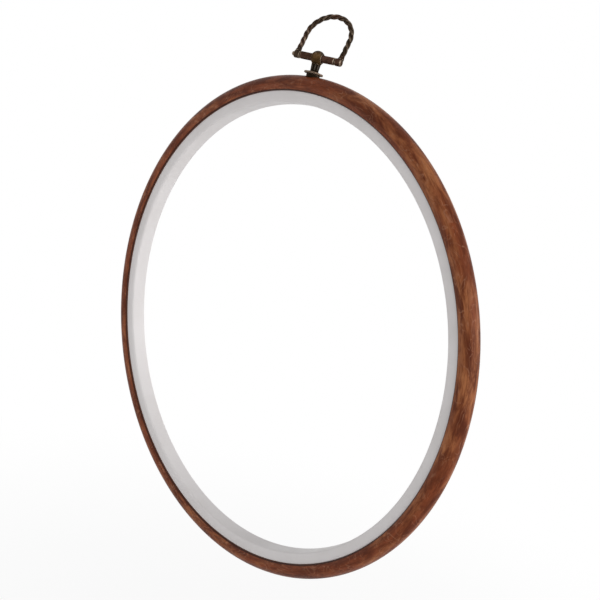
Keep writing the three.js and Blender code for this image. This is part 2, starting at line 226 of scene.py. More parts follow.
class HangerSizes(bpy.types.PropertyGroup):
    """Post, washers, hanging ring and cross bar."""

    pivot_height: length("Pivot height", "Cross bar's axis above the rim", 7.35)
    fit_gap: length("Fit gap", "Between faces that meet", 0.3)
    seam: length("Seam", "Line that shows on both faces of the washer under the flange", 0.05)
    turn_gap: length("Turn gap", "Round a pin that turns in its hole", 0.28)
    head_radius: length("Head radius", "Ball head of the post", 2.85)
    neck_radius: length("Neck radius", "Stem where it meets the head", 1.85)
    stem_foot_radius: length("Stem foot radius", "Stem at its thinnest, above the flange", 1.65)
    flute_length: length("Flute length", "Length of the flutes on the stem", 2.8)
    flute_depth: length("Flute depth", "Depth of the flutes on the stem", 0.3)
    flute_runout: length("Flute runout", "Length over which a flute fades at each end", 0.56)
    flutes: IntProperty(name="Flutes", description="Flutes round the stem", default=8, min=3, max=24)
    foot_radius: length("Foot radius", "Stem's flare where it meets the flange", 2.2)
    flange_radius: length("Flange radius", "Disc at the foot of the stem", 3.8)
    flange_thickness: length("Flange thickness", "Thickness of the flange's edge", 0.6)
    flange_cone: length("Flange cone", "Rise of the flange towards the stem", 0.3)
    shank_radius: length("Shank radius", "Pin through the rim", 1.1)
    rivet_radius: length("Rivet radius", "Formed end of the shank", 1.9)
    rivet_thickness: length("Rivet thickness", "Height of the formed end", 0.7)
    rivet_face_radius: length("Rivet face radius", "Flat middle of the formed end", 1.15)
    rivet_edge: length("Rivet edge", "Height of the slope round that flat", 0.42)
    rivet_sink: length("Rivet sink", "Rivet end below the rim's inner wall", 0.25)
    rim_washer_radius: length("Rim washer radius", "Washer under the flange", 2.7)
    rim_washer_thickness: length("Rim washer thickness", "Washer under the flange", 0.9)
    rim_washer_edge: length("Rim washer edge", "Rounding of the washer's upper edge", 0.2)
    spot_face_depth: length("Spot face depth", "Flat seat cut into the rim", 0.6)
    backing_radius: length("Backing washer radius", "Washer behind the rivet end", 2.2)
    backing_thickness: length("Backing washer thickness", "Washer behind the rivet end", 0.5)
    arch_width: length("Arch width", "Hanging ring, between the middles of its legs", 19.4)
    leg_height: length("Leg height", "Top of the straight part of each leg", 9.6)
    arch_height: length("Arch height", "From the cross bar's axis to the rope's middle at the top", 19.3)
    strand_radius: length("Strand radius", "Each strand of the rope", 0.62)
    strand_offset: length("Strand offset", "Strand's middle from the rope's middle", 0.455)
    strands: IntProperty(name="Strands", description="Strands in the rope", default=3, min=2, max=5)
    rope_pitch: length("Rope pitch", "Length of one full twist", 9.2)
    rope_foot: length("Rope foot", "Start of the rope above the bar's axis", 1.2)
    eye_radius: length("Eye radius", "Barrel eye at each corner", 1.5)
    eye_inset: length("Eye inset", "Eye's middle inwards of the leg's middle", 0.4)
    eye_length: length("Eye length", "Barrel eye at each corner", 2.7)
    eye_round: length("Eye rounding", "Rounding of the barrel's ends", 0.45)
    eye_neck_radius: length("Eye neck radius", "Neck that takes the rope's end", 1.2)
    eye_neck_height: length("Eye neck height", "Top of the neck above the bar's axis", 2.5)
    bar_radius: length("Bar radius", "Cross bar", 1.45)
    bar_round: length("Bar rounding", "Rounding of the bar's shoulders", 0.25)
    spigot_radius: length("Spigot radius", "Bar's ends in the eyes", 0.8)
    spigot_inset: length("Spigot inset", "Right spigot's end below the eye's outer face", 0.2)
    spigot_stand: length("Spigot stand", "Left spigot's end proud of the eye's outer face", 0.95)
    spigot_round: length("Spigot rounding", "Rounding of the spigots' ends", 0.3)
    grain: length("Casting grain", "Finest facet of the cast brass pieces", 0.08)


class HoopColours(bpy.types.PropertyGroup):
    """Finishes of the hoop's pieces."""

    grain_dark: colour("Dark grain", "Printed wood, darkest patches", 0.09, 0.018, 0.005)
    grain_body: colour("Grain", "Printed wood, main colour", 0.215, 0.052, 0.018)
    grain_honey: colour("Honey grain", "Printed wood, warm patches", 0.38, 0.142, 0.054)
    grain_vein: colour("Vein", "Printed wood, pale lines", 0.42, 0.20, 0.115)
    # Painted shade: the dark line at the print's inner edge stands for the shadow in the gap between the
    # hoops.
    gap_shade: colour("Painted gap shade", "Painted shade of the gap at the inner edge of the print", 0.03, 0.010, 0.007)
    vinyl_wall: colour("Inner wall", "Plain vinyl inside the print's edge", 0.12, 0.042, 0.022)
    pale: colour("Pale plastic", "Rigid ring", 0.718, 0.688, 0.685)
    pale_worn: colour("Handled plastic", "Rigid ring, where it is handled", 0.675, 0.643, 0.635)
    brass_hollow: colour("Hollow brass", "Darkened hollows", 0.006, 0.004, 0.002)
    brass_body: colour("Aged brass", "Main colour of the rope ring", 0.058, 0.038, 0.025)
    brass_dark: colour("Dark brass", "Washers and stem", 0.016, 0.010, 0.006)
    brass_copper: colour("Coppery brass", "Cross bar, flange and reddish patches", 0.085, 0.041, 0.027)
    brass_olive: colour("Olive brass", "Ball head of the post", 0.05, 0.042, 0.029)
    brass_amber: colour("Amber brass", "Warm patches of the head", 0.098, 0.052, 0.018)
    # Rubbed brass, and its grey kind on the stem, colour the crests: wear and a painted highlight.
    brass_rubbed_highlight: colour("Rubbed brass highlight", "High places of the hanger", 0.29, 0.225, 0.165)
    brass_grey_highlight: colour("Grey brass highlight", "High places of the stem", 0.05, 0.044, 0.036)


class HoopStage(bpy.types.PropertyGroup):
    """Floor, light and the photograph's point of view."""

    floor_drop: length("Floor drop", "Floor below the hoop's lowest point", 90)
    floor_reach: length("Floor reach", "Half the floor's width", 6000)
    sky: amount("Sky light", "Strength of the surrounding light", 0.51, 4)
    key: amount("Key light", "Power of the right-hand lamp, in watts", 22, 1000)
    side: amount("Side light", "Power of the lamp on the right, behind, in watts", 4.5, 1000)
    fill: amount("Fill light", "Power of the low front lamp, in watts", 0.26, 1000)
    shadow: amount("Shadow", "How much of the object's shadow the floor shows", 0.15)
    distance: length("Distance", "Camera to the hoop's front", 376.95)
    heading: angle("Heading", "Camera's turn to the hoop's right", 45.0611)
    rise: angle("Rise", "Camera above the hoop's middle", 14.8609)
    pan: angle("Pan", "Aim to the right of the hoop's middle", 2.0348)
    tilt: angle("Tilt", "Aim above the hoop's middle", 2.1106)
    roll: angle("Roll", "Camera's turn about its own line of sight", 9.877)
    aim_forward: length("Aim forward", "Aim point in front of the bead's widest line", 2.706)
    focal_length: FloatProperty(name="Lens", description="Lens for a 36 mm wide picture", default=54.4)


# Drawing outlines with operators: a pen that leaves points and edges behind it

class Pen:
    """Draws an outline in the XY plane of a mesh, with straight strokes and arcs."""

    def __init__(self, x, y):
        self.bm = bmesh.new()
        self.tip = self.bm.verts.new((x, y, 0))
        self.first = self.tip

    def line(self, x, y):
        self.tip = bmesh.ops.extrude_vert_indiv(self.bm, verts=[self.tip])["verts"][0]
        self.tip.co = (x, y, 0)

    def arc(self, x, y, start, end, steps):
        """Turns about (x, y) from one direction to another, in radians."""
        turned = bmesh.ops.spin(
            self.bm, geom=[self.tip], cent=(x, y, 0), axis=UP, angle=end - start, steps=steps
        )
        self.tip = next(item for item in turned["geom_last"] if isinstance(item, bmesh.types.BMVert))

    def corner(self, x, y, first, steps=EDGE_STEPS):
        """Turns a quarter about (x, y), from the first direction: 0 is +X, 1 is +Y, 2 is -X and 3 is -Y."""
        self.arc(x, y, first * QUARTER_TURN, (first + 1) * QUARTER_TURN, steps)

    def close(self):
        self.line(self.first.co.x, self.first.co.y)


def placed(bm, place):
    """The shape moved by a matrix."""
    bmesh.ops.transform(bm, verts=bm.verts[:], matrix=place)
    return bm


def tidy_shell(bm):
    """Merges what coincides and points every face outwards."""
    bmesh.ops.remove_doubles(bm, verts=bm.verts[:], dist=TOUCH)
    bmesh.ops.dissolve_degenerate(bm, edges=bm.edges[:], dist=TOUCH)
    bmesh.ops.recalc_face_normals(bm, faces=bm.faces[:])
    return bm


def turned(outline, steps):
    """Turns an outline, whose X is the radius, once round its Y axis."""
    bm = outline.bm
    bmesh.ops.spin(
        bm,
        geom=bm.verts[:] + bm.edges[:],
        cent=ORIGIN,
        axis=(0, 1, 0),
        angle=math.tau,
        steps=steps,
        use_merge=True,
    )
    return tidy_shell(bm)


def turned_upright(outline, steps):
    """Turns an outline round its Y axis and stands it up, so that its Y becomes Z."""
    return placed(turned(outline, steps), Matrix.Rotation(QUARTER_TURN, 4, "X"))


def laid_along_x(bm):
    """Lays an upright shape down, so that its Z becomes X."""
    return placed(bm, Matrix.Rotation(QUARTER_TURN, 4, "Y"))


def round_tool(radius, bottom, top, segments=BORE_SEGMENTS):
    """Upright round cutter."""
    bm = bmesh.new()
    bmesh.ops.create_cone(
        bm,
        cap_ends=True,
        segments=segments,
        radius1=radius,
        radius2=radius,
        depth=top - bottom,
        matrix=Matrix.Translation((0, 0, (bottom + top) / 2)),
    )
    return bm


def holder(bm, name="in_work"):
    """A passing object for a mesh under construction."""
    mesh = bpy.data.meshes.new(name)
    bm.to_mesh(mesh)
    bm.free()
    item = bpy.data.objects.new(name, mesh)
    bpy.context.scene.collection.objects.link(item)
    return item


def discard(item):
    """Removes a passing object with its mesh."""
    mesh = item.data
    bpy.data.objects.remove(item)
    bpy.data.meshes.remove(mesh)


def modified(bm, kind, **settings):
    """The same shape after one modifier."""
    item = holder(bm)
    modifier = item.modifiers.new(kind.lower(), kind)
    for name, value in settings.items():
        setattr(modifier, name, value)
    result = bmesh.new()
    result.from_object(item, bpy.context.evaluated_depsgraph_get())
    discard(item)
    return result


def carved(bm, *tools):
    """The shape less the tools."""
    for tool in tools:
        cutter = holder(tool)
        bm = modified(bm, "BOOLEAN", operation="DIFFERENCE", solver="EXACT", object=cutter)
        discard(cutter)
    return bm


def cast(bm, grain, rounds=3):
    """Runs overlapping shells together into one skin with soft edges, as a casting has."""
    bm = modified(bm, "REMESH", mode="VOXEL", voxel_size=grain, adaptivity=0)
    for _ in range(rounds):
        bmesh.ops.smooth_vert(
            bm, verts=bm.verts[:], factor=0.5, use_axis_x=True, use_axis_y=True, use_axis_z=True
        )
    return bm


def join(bm, other):
    """Adds another mesh under construction to this one."""
    mesh = bpy.data.meshes.new("in_work")
    other.to_mesh(mesh)
    other.free()
    bm.from_mesh(mesh)
    bpy.data.meshes.remove(mesh)


def store_relief(bm, rounds=2):
    """Keeps how far each point stands out from those around it, in 1/mm: crests above 0, hollows below."""
    bm.normal_update()
    relief = bm.verts.layers.float.new("relief")
    for vert in bm.verts:
        total = 0.0
        for edge in vert.link_edges:
            step = edge.other_vert(vert).co - vert.co
            total -= 2 * step.dot(vert.normal) / max(step.length_squared, SHORTEST ** 2)
        vert[relief] = total / max(len(vert.link_edges), 1) * MM
    for _ in range(rounds):
        means = []
        for vert in bm.verts:
            near = [edge.other_vert(vert)[relief] for edge in vert.link_edges]
            means.append((vert[relief] + sum(near)) / (1 + len(near)))
        for vert, mean in zip(bm.verts, means):
            vert[relief] = mean


def add_piece(name, bm, place, body, node, material):
    """Turns a mesh under construction into a piece of the hoop, in place and riding on its body."""
    placed(bm, place)
    for face in bm.faces:
        face.smooth = True
    for edge in bm.edges:
        edge.smooth = edge.calc_face_angle(0) < SHARP
    piece = holder(bm, name)
    piece.data.materials.append(material)
    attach(piece, body)
    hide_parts(node)


def standing(origin, across, up):
    """Place of a shape whose X runs across and whose Z runs up."""
    return Matrix.Translation(origin) @ Matrix((across, up.cross(across), up)).transposed().to_4x4()


# Places of the finished shapes. The post leans to the back about the middle of the bead's crown.
LEAN = Matrix.Rotation(math.atan2(-POST_WAY.y, POST_WAY.z), 4, "X")
LEANED = Matrix.Translation((0, 0, CROWN_MIDDLE)) @ LEAN @ Matrix.Translation((0, 0, -CROWN_MIDDLE))
HOOP_PLACE = Matrix.Translation(HOOP_CENTRE)
WASHER_PLACE = HOOP_PLACE @ LEANED
POST_PLACE = standing(PIVOT, BAR_WAY, POST_WAY)
RING_PLACE = standing(PIVOT, BAR_WAY, RING_UP)


class Heights:
    """Levels of the hanger's pieces above the hoop's middle, stacked up through the rim."""

    def __init__(self, sizes, hanger):
        self.rim = RIM_RADIUS
        self.seat = RIM_RADIUS - sizes.rim_thickness
        self.spot_face = self.rim - hanger.spot_face_depth
        self.flange = self.spot_face + 2 * hanger.fit_gap + hanger.rim_washer_thickness
        self.washer_bottom = self.spot_face + hanger.seam
        self.washer_top = self.flange - hanger.seam
        self.rivet = self.seat + hanger.rivet_sink
        self.rivet_top = self.rivet + hanger.rivet_thickness
        self.backing = self.rivet_top + hanger.fit_gap
        self.backing_top = self.backing + hanger.backing_thickness
        self.recess = self.backing_top + hanger.fit_gap
        self.pivot = self.rim + hanger.pivot_height
        self.shank_hole = hanger.shank_radius + hanger.turn_gap


# Wiring shader nodes

class Wiring:
    """Adds nodes to a tree and feeds their sockets with values or with other sockets."""

    def __init__(self, tree):
        self.tree = tree

    def feed(self, socket, value):
        if isinstance(value, bpy.types.NodeSocket):
            self.tree.links.new(value, socket)
        else:
            socket.default_value = value

    def add(self, kind, inputs, **settings):
        node = self.tree.nodes.new(kind)
        for name, value in settings.items():
            setattr(node, name, value)
        for name, value in inputs.items():
            self.feed(node.inputs[name], value)
        return node

    def math(self, operation, first, second=0.0, clamp=False):
        node = self.add("ShaderNodeMath", {0: first, 1: second}, operation=operation, use_clamp=clamp)
        return node.outputs[0]

    def plus(self, first, second):
        return self.math("ADD", first, second)

    def minus(self, first, second):
        return self.math("SUBTRACT", first, second)

    def times(self, first, second):
        return self.math("MULTIPLY", first, second)

    def vector(self, operation, first, second=ORIGIN):
        """A vector worked out from one or two others."""
        return self.add("ShaderNodeVectorMath", {0: first, 1: second}, operation=operation).outputs[0]

    def measure(self, operation, first, second=ORIGIN):
        """A number worked out from one or two vectors."""
        return self.add("ShaderNodeVectorMath", {0: first, 1: second}, operation=operation).outputs["Value"]

    def mix(self, factor, first, second):
        """A colour between two others, which the node takes on sockets 6 and 7 and gives on socket 2."""
        node = self.add("ShaderNodeMix", {0: factor, 6: first, 7: second}, data_type="RGBA")
        return node.outputs[2]

    def layered(self, base, layers):
        """Lays further colours over a first one, each as far as its mask says."""
        for mask, colour_above in layers:
            base = self.mix(mask, base, colour_above)
        return base

    def between(self, value, low, high, start=0.0, end=1.0):
        """Eases from start to end as the value goes from low to high."""
        inputs = {"Value": value, "From Min": low, "From Max": high, "To Min": start, "To Max": end}
        node = self.add("ShaderNodeMapRange", inputs, interpolation_type="SMOOTHSTEP")
        return node.outputs["Result"]

    def noise(self, vector, size, detail=2.0, roughness=0.5, distortion=0.0, w=None):
        """Noise whose features are about as large as size, in metres."""
        linked = isinstance(size, bpy.types.NodeSocket)
        inputs = {
            "Vector": vector,
            "Scale": self.math("DIVIDE", 1.0, size) if linked else 1 / size,
            "Detail": detail,
            "Roughness": roughness,
            "Distortion": distortion,
        }
        node = self.add("ShaderNodeTexNoise", inputs, noise_dimensions="3D" if w is None else "4D")
        if w is not None:
            self.feed(node.inputs["W"], w)
        return node.outputs[0]

    def bump(self, height, strength, depth):
        """Normal of a fine relief of a given depth."""
        inputs = {"Strength": strength, "Distance": depth, "Height": height}
        return self.add("ShaderNodeBump", inputs).outputs[0]

    def centred_coordinates(self, centre):
        """Object coordinates with a point of the hoop at 0."""
        own = self.add("ShaderNodeTexCoord", {}).outputs["Object"]
        return self.add("ShaderNodeMapping", {"Vector": own, "Location": -centre}).outputs[0]

    def looked_at(self):
        """1 for the rays that look at a surface: from the camera, in gloss and through glass."""
        light = self.add("ShaderNodeLightPath", {}).outputs
        seen = self.math("MAXIMUM", light["Is Camera Ray"], light["Is Glossy Ray"])
        return self.math("MAXIMUM", seen, light["Is Transmission Ray"])

    def group(self, name, make, inputs):
        """Places a node group, made the first time it is asked for, and gives what it puts out."""
        group = bpy.data.node_groups.get(name) or make(name)
        return self.add("ShaderNodeGroup", inputs, node_tree=group).outputs


COLOUR = "NodeSocketColor"
VALUE = "NodeSocketFloat"
VECTOR = "NodeSocketVector"
GREY = (0.5, 0.5, 0.5, 1)
WHITE = (1, 1, 1, 1)
PALE_FLOOR = (0.9, 0.9, 0.9, 1)


def shader_group(name, inputs, outputs):
    """A new node group: its wiring, what comes in and what goes out."""
    group = bpy.data.node_groups.new(name, "ShaderNodeTree")
    for label, kind, value in inputs:
        group.interface.new_socket(name=label, in_out="INPUT", socket_type=kind).default_value = value
    for label, kind in outputs:
        group.interface.new_socket(name=label, in_out="OUTPUT", socket_type=kind)
    entry = group.nodes.new("NodeGroupInput")
    leave = group.nodes.new("NodeGroupOutput")
    return Wiring(group), entry.outputs, leave.inputs


def printed_grain(name):
    """Wood grain printed along a ring with its middle at 0 and axis Y, plus painted light and an edge line
    of painted shade.
    """
    inputs = [
        ("Vector", VECTOR, ORIGIN),
        *((label, COLOUR, GREY) for label in ("Dark", "Body", "Honey", "Vein", "Line", "Wall")),
        ("Edge", VALUE, RIM_RADIUS),
        ("Base", VALUE, RIM_RADIUS),
    ]
    outputs = [("Color", COLOUR), ("Gloss", VALUE), ("Height", VALUE)]
    wire, given, out = shader_group(name, inputs, outputs)
    axes = wire.add("ShaderNodeSeparateXYZ", {0: given["Vector"]}).outputs
    flat = wire.add("ShaderNodeCombineXYZ", {0: axes[0], 2: axes[2]}).outputs[0]
    depth = wire.add("ShaderNodeCombineXYZ", {1: axes[1]}).outputs[0]
    radius = wire.measure("LENGTH", flat)
    way = wire.vector("NORMALIZE", flat)

    def along(stretch, size, **settings):
        """Noise drawn out along the rim, by a ring that is smaller than the real one and has no seam."""
        small = wire.add("ShaderNodeVectorMath", {0: way, "Scale": RIM_RADIUS / stretch}, operation="SCALE")
        return wire.noise(wire.vector("ADD", small.outputs[0], depth), size, w=radius, **settings)

    mottle = along(stretch=4.4, size=3.4 * MM, detail=5, roughness=0.62, distortion=0.9)
    warm = along(stretch=3.2, size=9 * MM, detail=3, roughness=0.55, distortion=0.7)
    lines = along(stretch=1.5, size=9 * MM, distortion=1.8)
    breaks = along(stretch=1.5, size=4 * MM)
    flecks = along(stretch=4.5, size=0.9 * MM, detail=3, roughness=0.65, distortion=0.8)
    pores = along(stretch=14, size=0.35 * MM, roughness=0.6)

    shade = wire.between(mottle, 0.34, 0.64)
    # Painted light: the print gets more honey patches towards the upper right, where the lamps fall.
    painted_light_side = wire.between(wire.measure("DOT_PRODUCT", way, LIT_SIDE_WAY), 0.2, 1.0, 0.0, LIT_SIDE_SHARE)
    honey_and_painted_light = wire.between(wire.plus(warm, painted_light_side), 0.43, 0.72)
    honey_and_painted_light = wire.times(honey_and_painted_light, wire.between(mottle, 0.36, 0.64))
    fleck = wire.between(flecks, 0.56, 0.34)
    pore = wire.between(pores, 0.5, 0.32)
    # Veins follow two levels of one slow noise, so that they run side by side and never cross.
    veins = []
    for level in VEIN_LEVELS:
        away = wire.math("ABSOLUTE", wire.minus(lines, level))
        veins.append(wire.between(away, VEIN_WIDTH, 0.0))
    vein = wire.times(wire.math("MAXIMUM", *veins), wire.between(breaks, 0.4, 0.6))
    # The print ends in a dark line of painted shade from its edge to its base; the wall is plain as far
    # again inside.
    line = wire.between(radius, given["Edge"], given["Base"])
    inside = wire.minus(wire.times(given["Base"], 2.0), given["Edge"])
    wall = wire.between(radius, wire.plus(inside, WALL_BLEND), inside)
    printed = wire.layered(wire.mix(shade, given["Dark"], given["Body"]), (
        (honey_and_painted_light, given["Honey"]),
        (wire.times(vein, VEIN_SHARE), given["Vein"]),
        (wire.times(fleck, FLECK_SHARE), given["Dark"]),
        (wire.times(pore, PORE_SHARE), given["Dark"]),
        (line, given["Line"]),
        (wall, given["Wall"]),
    ))
    wire.feed(out["Color"], printed)
    wire.feed(out["Gloss"], wire.math("SUBTRACT", shade, wire.times(pore, 0.5), clamp=True))
    wire.feed(out["Height"], wire.minus(wire.times(vein, 0.3), pore))
    return wire.tree


def handling(name):
    """Soft smears and fine hairline scuffs that handling leaves on any surface."""
    inputs = [("Vector", VECTOR, ORIGIN), ("Smear size", VALUE, 12 * MM), ("Scuff size", VALUE, 0.6 * MM)]
    wire, given, out = shader_group(name, inputs, [("Smears", VALUE), ("Scuffs", VALUE)])
    smears = wire.noise(given["Vector"], given["Smear size"], detail=3, distortion=0.7)
    slanted = {"Vector": given["Vector"], "Rotation": HAIRLINE_TURN, "Scale": HAIRLINE_STRETCH}
    hairlines = wire.add("ShaderNodeMapping", slanted).outputs[0]
    scuffs = wire.noise(hairlines, given["Scuff size"], detail=1)
    wire.feed(out["Smears"], wire.between(smears, 0.4, 0.65))
    wire.feed(out["Scuffs"], wire.between(scuffs, 0.62, 0.74))
    return wire.tree


def patina(name):
    """Aged brass: dark in the hollows, rubbed bright on the crests as wear and a painted highlight, with
    coppery patches.
    """
    inputs = [
        ("Vector", VECTOR, ORIGIN),
        *((label, COLOUR, GREY) for label in ("Hollow", "Body", "Copper", "Rubbed highlight")),
        ("Rub highlight start", VALUE, 0.5),
    ]
    outputs = [("Color", COLOUR), ("Roughness", VALUE), ("Metallic", VALUE), ("Height", VALUE)]
    wire, given, out = shader_group(name, inputs, outputs)
    relief = wire.add("ShaderNodeAttribute", {}, attribute_name="relief").outputs["Fac"]
    blotch = wire.noise(given["Vector"], size=2.2 * MM, detail=3, roughness=0.6, distortion=0.5)
    speck = wire.noise(given["Vector"], size=0.45 * MM, detail=3, roughness=0.65)
    tone = wire.noise(given["Vector"], size=6 * MM, detail=1.5)
    # Relief is in 1/mm: it is rubbed bright, as wear and a painted highlight, from the rub start upwards,
    # more so in some blotches than in others.
    high = wire.plus(relief, wire.times(wire.minus(blotch, 0.5), RUB_HIGHLIGHT_SHIFT))
    rubbed_highlight = wire.between(high, given["Rub highlight start"], wire.plus(given["Rub highlight start"], RUB_HIGHLIGHT_RANGE))
    rubbed_highlight = wire.times(rubbed_highlight, wire.between(speck, 0.3, 0.6, 0.55, 1.0))
    hollow = wire.between(relief, 0.05, -0.9)
    patches = wire.mix(wire.between(tone, 0.42, 0.6), given["Body"], given["Copper"])
    aged = wire.layered(patches, (
        (wire.between(blotch, 0.62, 0.36, 0.0, 0.55), given["Hollow"]),
        (rubbed_highlight, given["Rubbed highlight"]),
        (hollow, given["Hollow"]),
    ))
    smoother = wire.minus(0.46, wire.times(rubbed_highlight, 0.14))
    dull = wire.plus(wire.times(wire.between(speck, 0.35, 0.7), 0.12), wire.times(hollow, 0.25))
    wire.feed(out["Color"], aged)
    wire.feed(out["Roughness"], wire.plus(smoother, dull))
    wire.feed(out["Metallic"], wire.plus(0.4, wire.times(rubbed_highlight, 0.4)))
    wire.feed(out["Height"], wire.plus(wire.times(blotch, 0.6), wire.times(speck, 0.4)))
    return wire.tree


# Materials

def emptied_material(name):
    """A material with an empty tree, new or used again: its wiring and the output's surface socket."""
    material = bpy.data.materials.get(name) or bpy.data.materials.new(name)
    material.use_nodes = True
    material.node_tree.nodes.clear()
    wire = Wiring(material.node_tree)
    return material, wire, wire.add("ShaderNodeOutputMaterial", {}).inputs["Surface"]


def printed_vinyl(colours, seat):
    """Semi-gloss vinyl with a reddish-brown wood grain printed along the rim, nearly to its inner wall,
    with painted light on the upper right and painted shade at its inner edge.
    """
    material, wire, surface = emptied_material("printed_vinyl")
    here = wire.centred_coordinates(HOOP_CENTRE)
    grain = wire.group("Printed grain", printed_grain, {
        "Vector": here,
        "Dark": colours.grain_dark,
        "Body": colours.grain_body,
        "Honey": colours.grain_honey,
        "Vein": colours.grain_vein,
        # Painted shade of the gap between the hoops, along the print's inner edge
        "Line": colours.gap_shade,
        "Wall": colours.vinyl_wall,
        "Edge": seat + SHADE_LINE_START,
        "Base": seat + SHADE_LINE_FULL,
    })
    touched = wire.group("Handling", handling, {"Vector": here})
    rough = wire.minus(0.42, wire.times(grain["Gloss"], 0.08))
    shader = wire.add("ShaderNodeBsdfPrincipled", {
        "Base Color": grain["Color"],
        "Roughness": wire.plus(rough, wire.times(touched["Smears"], 0.07)),
        "Normal": wire.bump(grain["Height"], strength=0.25, depth=0.02 * MM),
        "Specular IOR Level": 0.11,
    })
    wire.feed(surface, shader.outputs[0])
    return material


def satin_plastic(colours):
    """Pale moulded plastic, a little greyer where it is handled."""
    material, wire, surface = emptied_material("satin_plastic")
    here = wire.centred_coordinates(HOOP_CENTRE)
    touched = wire.group("Handling", handling, {"Vector": here, "Smear size": 18 * MM})
    worn = wire.plus(wire.times(touched["Smears"], 0.5), wire.times(touched["Scuffs"], 0.3))
    shader = wire.add("ShaderNodeBsdfPrincipled", {
        "Base Color": wire.mix(worn, colours.pale, colours.pale_worn),
        "Roughness": wire.plus(0.42, wire.times(touched["Smears"], 0.1)),
        "Normal": wire.bump(wire.noise(here, size=0.5 * MM), strength=0.15, depth=0.01 * MM),
    })
    wire.feed(surface, shader.outputs[0])
    return material


def aged_brass(name, colours, body, rub_highlight_start, stem=None):
    """Antique brass of a body colour; the lower its rub start, the more of it is rubbed bright with a
    painted highlight.

    A stem, given as its distances from the pivot, has colours of its own between head and flange.
    """
    material, wire, surface = emptied_material(name)
    here = wire.centred_coordinates(PIVOT)
    tones = {"Body": body, "Copper": colours.brass_copper, "Rubbed highlight": colours.brass_rubbed_highlight}
    if stem is not None:
        tones = post_tones(wire, here, colours, tones, *stem)
    aged = wire.group("Patina", patina, {
        "Vector": here,
        "Hollow": colours.brass_hollow,
        "Rub highlight start": rub_highlight_start,
        **tones,
    })
    shader = wire.add("ShaderNodeBsdfPrincipled", {
        "Base Color": aged["Color"],
        "Roughness": aged["Roughness"],
        "Metallic": aged["Metallic"],
        "Normal": wire.bump(aged["Height"], strength=0.35, depth=0.06 * MM),
        "Specular IOR Level": 0.1,
        "Specular Tint": BRASS_TINT,
    })
    wire.feed(surface, shader.outputs[0])
    return material


def post_tones(wire, here, colours, tones, top, bottom):
    """The post's colours, from the pivot outwards: an olive head, a dark stem with a painted grey highlight
    on its crests, and a coppery flange.
    """
    away = wire.measure("LENGTH", here)
    below_head = wire.between(away, top, top + HEAD_BLEND)
    flange = wire.between(away, *(bottom + reach for reach in FLANGE_BLEND))
    stem_body = wire.mix(flange, colours.brass_dark, colours.brass_copper)
    stem_patches = wire.mix(flange, colours.brass_dark, tones["Copper"])
    return {
        "Body": wire.mix(below_head, tones["Body"], stem_body),
        "Copper": wire.mix(below_head, colours.brass_amber, stem_patches),
        # The stem's crests take a painted grey highlight.
        "Rubbed highlight": wire.mix(wire.minus(below_head, flange), tones["Rubbed highlight"], colours.brass_grey_highlight),
    }


class HOOP_OT_outer_hoop(bpy.types.Operator):
    """Add the flexible hoop with its printed wood grain"""

    bl_idname = "hoop.outer_hoop"
    bl_label = "Flexible hoop"

    def execute(self, context):
        sizes = context.scene.hoop_sizes
        hanger = context.scene.hanger_sizes
        levels = Heights(sizes, hanger)
        crown = sizes.crown_radius
        fillet = sizes.rim_fillet
        middle = RIM_RADIUS - crown
        back = crown - sizes.back_trim
        inner = levels.seat + fillet
        front_y = -math.sqrt((crown - fillet) ** 2 - (inner - middle) ** 2)
        front_touch = math.atan2(front_y, inner - middle)
        back_y = back - fillet
        back_r = middle + math.sqrt((crown - fillet) ** 2 - back_y ** 2)
        back_touch = math.atan2(back_y, back_r - middle)
        bead = Pen(levels.seat, front_y)
        bead.arc(inner, front_y, -math.pi, front_touch, FILLET_STEPS)
        bead.arc(middle, 0, front_touch, back_touch, CROWN_STEPS)
        bead.arc(back_r, back_y, back_touch, QUARTER_TURN, BACK_STEPS)
        bead.line(inner, back)
        bead.corner(inner, back_y, 1, FILLET_STEPS)
        bead.close()
        rim = turned(bead, sizes.steps)
        gap = hanger.fit_gap
        spot_face = round_tool(hanger.rim_washer_radius + gap, levels.spot_face, levels.rim + crown)
        hole = round_tool(levels.shank_hole, levels.recess - crown, levels.rim)
        recess = round_tool(hanger.backing_radius + gap, levels.seat - crown, levels.recess)
        rim = carved(rim, *(placed(tool, LEANED) for tool in (spot_face, hole, recess)))
        material = printed_vinyl(context.scene.hoop_colours, levels.seat)
        add_piece("vinyl_rim", rim, HOOP_PLACE, "outer_hoop", "outer_hoop", material)
        return {"FINISHED"}


class HOOP_OT_inner_hoop(bpy.types.Operator):
    """Add the rigid pale hoop inside it"""

    bl_idname = "hoop.inner_hoop"
    bl_label = "Rigid hoop"

    def execute(self, context):
        sizes = context.scene.hoop_sizes
        outer = RIM_RADIUS - sizes.rim_thickness - sizes.cloth_gap
        bore = outer - sizes.face_width
        front = sizes.setback - sizes.crown_radius
        back = sizes.crown_radius - sizes.back_trim
        edge = sizes.edge_fillet
        rounding = sizes.bore_fillet
        section = Pen(bore, front + rounding)
        section.corner(bore + rounding, front + rounding, 2, BORE_STEPS)
        section.line(outer - edge, front)
        section.corner(outer - edge, front + edge, 3)
        section.line(outer, back - edge)
        section.corner(outer - edge, back - edge, 0)
        section.line(bore - sizes.draft + edge, back)
        section.corner(bore - sizes.draft + edge, back - edge, 1)
        section.close()
        ring = turned(section, sizes.steps)
        material = satin_plastic(context.scene.hoop_colours)
        add_piece("pale_ring", ring, HOOP_PLACE, "inner_hoop", "inner_hoop", material)
        return {"FINISHED"}


